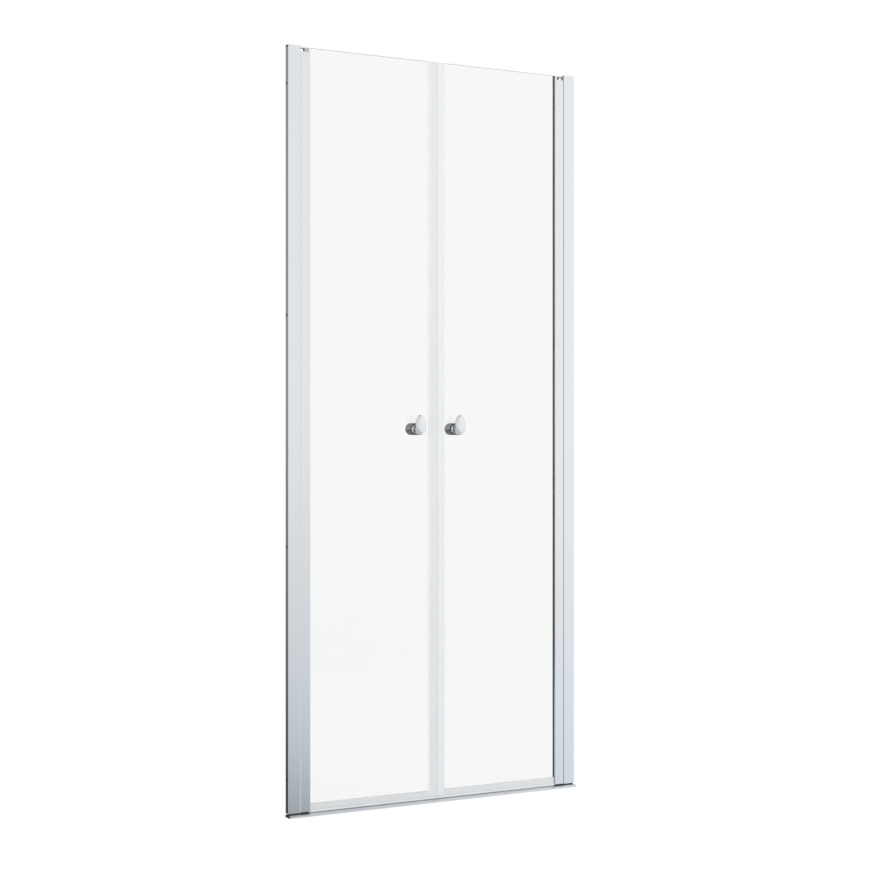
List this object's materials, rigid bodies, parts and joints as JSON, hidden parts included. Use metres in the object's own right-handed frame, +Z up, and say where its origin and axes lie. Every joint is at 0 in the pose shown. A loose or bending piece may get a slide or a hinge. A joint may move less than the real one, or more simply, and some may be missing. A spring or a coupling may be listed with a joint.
{
  "type": "pivot shower door",
  "caption": "Clear glass swing door in two leaves for a shower niche, turning both ways on pins between slim aluminium posts, with knobs, magnetic meeting seals and a low threshold.",
  "frame": {"origin": "middle of the threshold's underside, in the plane of the closed glass leaves", "axes": "+Z up, +X to the right as seen from the front, -Y towards the room, where the oval knob plates are"},
  "size_m": [0.884, 0.069, 2],
  "materials": {
    "bright_aluminium": "bright anodised, lengthwise extrusion lines",
    "satin_aluminium": "satin anodised, lengthwise extrusion lines",
    "chrome": "polished chrome plate",
    "steel": "stainless, plain",
    "dark_steel": "blackened",
    "glass": "clear toughened glass, polished edges",
    "milky_vinyl": "milky translucent vinyl",
    "clear_vinyl": "clear to milky vinyl",
    "magnet": "magnet-filled rubber",
    "black_plastic": "fine moulded grain",
    "dark_plastic": "fine moulded grain",
    "white_plastic": "smooth moulded",
    "black_rubber": "matte",
    "grey_rubber": "matte"
  },
  "bodies": {
    "frame": {"threshold_rail": "satin_aluminium", "wall_profile_left": "bright_aluminium", "wall_profile_right": "bright_aluminium", "wall_profile_cap_left": "dark_plastic", "wall_profile_cap_right": "dark_plastic", "pivot_profile_left": "bright_aluminium", "pivot_profile_right": "bright_aluminium", "seat_strip_left": "grey_rubber", "seat_strip_right": "grey_rubber", "adjusting_screws_left": "steel", "adjusting_screws_right": "steel", "top_arm_left": "white_plastic", "top_arm_right": "white_plastic", "top_pin_left": "steel", "top_pin_right": "steel", "tongue_screws_left": "steel", "tongue_screws_right": "steel", "foot_left": "black_plastic", "foot_right": "black_plastic", "bottom_pin_left": "steel", "bottom_pin_right": "steel", "threshold_end_cap_left": "black_plastic", "threshold_end_cap_right": "black_plastic"},
    "left_leaf": {"stile_left": "bright_aluminium", "top_plug_left": "dark_plastic", "bottom_plug_left": "dark_plastic", "top_bush_left": "white_plastic", "bottom_bush_left": "white_plastic", "glazing_gasket_left": "grey_rubber", "glass_left": "glass", "magnetic_seal_left": "milky_vinyl", "magnet_strip_left": "magnet", "drip_seal_left": "clear_vinyl", "outer_knob_left": "chrome", "inner_knob_left": "chrome", "knob_rings_left": "black_rubber", "glass_bush_left": "white_plastic", "knob_stud_left": "steel", "knob_grub_screw_left": "dark_steel"},
    "right_leaf": {"stile_right": "bright_aluminium", "top_plug_right": "dark_plastic", "bottom_plug_right": "dark_plastic", "top_bush_right": "white_plastic", "bottom_bush_right": "white_plastic", "glazing_gasket_right": "grey_rubber", "glass_right": "glass", "magnetic_seal_right": "milky_vinyl", "magnet_strip_right": "magnet", "drip_seal_right": "clear_vinyl", "outer_knob_right": "chrome", "inner_knob_right": "chrome", "knob_rings_right": "black_rubber", "glass_bush_right": "white_plastic", "knob_stud_right": "steel", "knob_grub_screw_right": "dark_steel"}
  },
  "joints": [
    {"name": "left_leaf_swing", "type": "hinge", "parent": "frame", "child": "left_leaf", "pos_m": [-0.393, 0, 0], "axis": [0, 0, 1], "range_deg": [-90, 90]},
    {"name": "right_leaf_swing", "type": "hinge", "parent": "frame", "child": "right_leaf", "pos_m": [0.393, 0, 0], "axis": [0, 0, 1], "range_deg": [-90, 90]}
  ]
}
